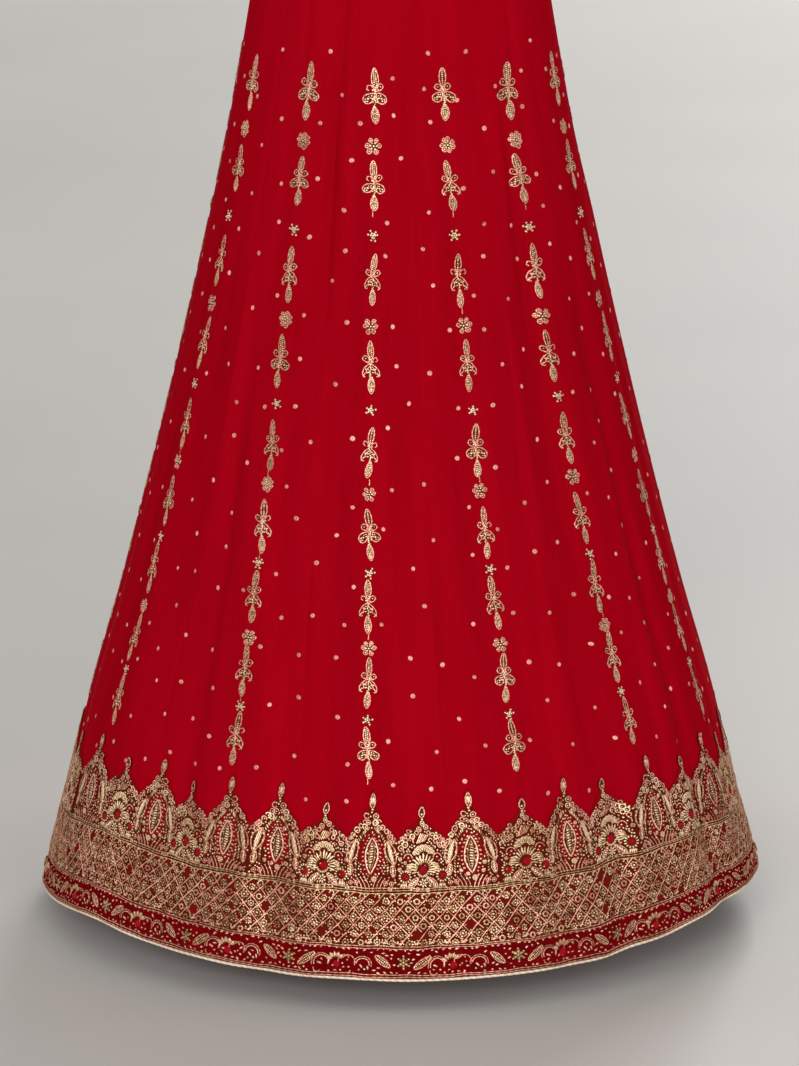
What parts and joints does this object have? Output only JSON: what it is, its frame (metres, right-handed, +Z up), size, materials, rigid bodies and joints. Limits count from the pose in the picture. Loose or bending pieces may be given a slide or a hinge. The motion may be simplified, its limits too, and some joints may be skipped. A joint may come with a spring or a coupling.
{
  "type": "lehenga skirt",
  "caption": "Full-length flared lehenga skirt in red silk with gold embroidered motif lines, an arch and lattice border and a dark hem band, hollow and held at its open waistband.",
  "frame": {"origin": "middle of the waist opening, halfway up the waistband", "axes": "+Z up along the skirt, the wearer faces -Y, +X is the wearer's left"},
  "size_m": [0.7008, 0.6997, 1.0772],
  "materials": {
    "red_silk": "plain-weave silk with a soft low sheen",
    "border_ground": "red silk closely covered with gold zardozi embroidery",
    "hem_silk": "dark red silk with scattered gold embroidery",
    "gold_piping": "pale gold tissue piping",
    "gold_embroidery": "pale antique gold cords, beads and bullion",
    "red_appliques": "bright red satin flower centres"
  },
  "bodies": {
    "root": {"waistband": "red_silk", "placket": "red_silk", "kali_01": "red_silk", "kali_02": "red_silk", "kali_03": "red_silk", "kali_04": "red_silk", "kali_05": "red_silk", "kali_06": "red_silk", "kali_07": "red_silk", "kali_08": "red_silk", "kali_09": "red_silk", "kali_10": "red_silk", "kali_11": "red_silk", "kali_12": "red_silk", "kali_13": "red_silk", "kali_14": "red_silk", "arch_border": "border_ground", "lattice_band": "border_ground", "hem_border": "hem_silk", "hem_piping": "gold_piping"}
  },
  "joints": []
}
